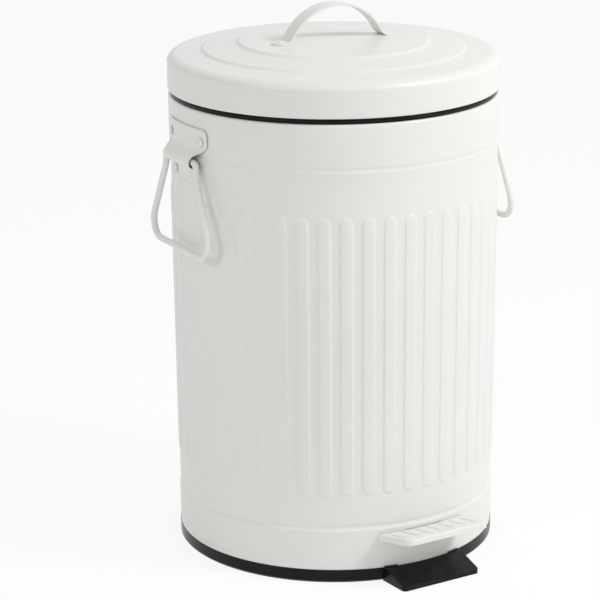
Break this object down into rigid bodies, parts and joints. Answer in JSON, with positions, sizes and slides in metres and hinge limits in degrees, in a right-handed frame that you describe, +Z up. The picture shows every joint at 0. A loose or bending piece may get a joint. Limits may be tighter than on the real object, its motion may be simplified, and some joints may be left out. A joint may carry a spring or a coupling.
{
  "type": "trash can",
  "caption": "Round step-pedal trash can with a ribbed steel body, a terraced lid with a strap handle, hanging wire side handles, a black base and a removable inner bucket.",
  "frame": {"origin": "centre of the base on the floor, on the axis of the body", "axes": "+Z up along the body axis; -Y to the front, where the pedal is; +Y to the lid hinge at the back; +X to the right for someone who stands in front of the pedal, close to the right handle"},
  "size_m": [0.272, 0.2921, 0.4166],
  "materials": {
    "white_paint": "satin off-white enamel",
    "black_plastic": "satin moulded plastic",
    "plated_steel": "zinc plated",
    "grey_plastic": "moulded plastic"
  },
  "bodies": {
    "bin": {"body_shell": "white_paint", "base_tray": "black_plastic", "front_foot": "black_plastic", "rim_collar": "black_plastic", "hinge_bracket": "white_paint", "hinge_bracket_rivets": "white_paint", "hinge_pin": "plated_steel", "left_bracket": "white_paint", "left_bracket_rivets": "white_paint", "right_bracket": "white_paint", "right_bracket_rivets": "white_paint", "rod_guides": "plated_steel", "rod_guide_rivets": "white_paint", "pivot_bracket": "plated_steel", "pivot_bracket_screws": "plated_steel", "pedal_pin": "plated_steel"},
    "lid": {"lid_shell": "white_paint", "lid_strap": "white_paint", "lid_strap_rivets": "white_paint", "lid_hinge_plate": "white_paint", "lid_lever": "plated_steel", "lid_hinge_rivets": "white_paint"},
    "pedal": {"pedal_lever": "white_paint", "pedal_plate": "white_paint"},
    "lift_rod": {"lift_rod": "plated_steel"},
    "left_bail": {"left_bail": "white_paint"},
    "right_bail": {"right_bail": "white_paint"},
    "bucket": {"inner_bucket": "grey_plastic"},
    "bucket_bail": {"bucket_bail": "plated_steel"}
  },
  "joints": [
    {"name": "lid_hinge", "type": "hinge", "parent": "bin", "child": "lid", "pos_m": [0, 0.133, 0.362], "axis": [-1, 0, 0], "range_deg": [0, 80]},
    {"name": "pedal_hinge", "type": "hinge", "parent": "bin", "child": "pedal", "pos_m": [0, -0.0815, 0.02789], "axis": [1, 0, 0], "range_deg": [0, 8.24]},
    {"name": "rod_lift", "type": "slide", "parent": "bin", "child": "lift_rod", "axis": [0, 0, 1], "range_m": [0, 0.02804]},
    {"name": "left_bail_swing", "type": "hinge", "parent": "bin", "child": "left_bail", "pos_m": [-0.12757, 0.01071, 0.3125], "axis": [0.0837, 0.9965, 0], "range_deg": [-2, 148]},
    {"name": "right_bail_swing", "type": "hinge", "parent": "bin", "child": "right_bail", "pos_m": [0.12757, -0.01071, 0.3125], "axis": [-0.0837, -0.9965, 0], "range_deg": [-2, 148]},
    {"name": "bucket_lift", "type": "slide", "parent": "bin", "child": "bucket", "axis": [0, 0, 1], "range_m": [0, 0.006]},
    {"name": "bucket_bail_swing", "type": "hinge", "parent": "bucket", "child": "bucket_bail", "pos_m": [0, 0, 0.3603], "axis": [-1, 0, 0], "range_deg": [0, 6]}
  ],
  "couplings": [
    {"joint": "pedal_hinge", "follows": "lid_hinge", "ratio": 0.10289},
    {"joint": "rod_lift", "follows": "lid_hinge", "m_per_rad": 0.020072}
  ]
}
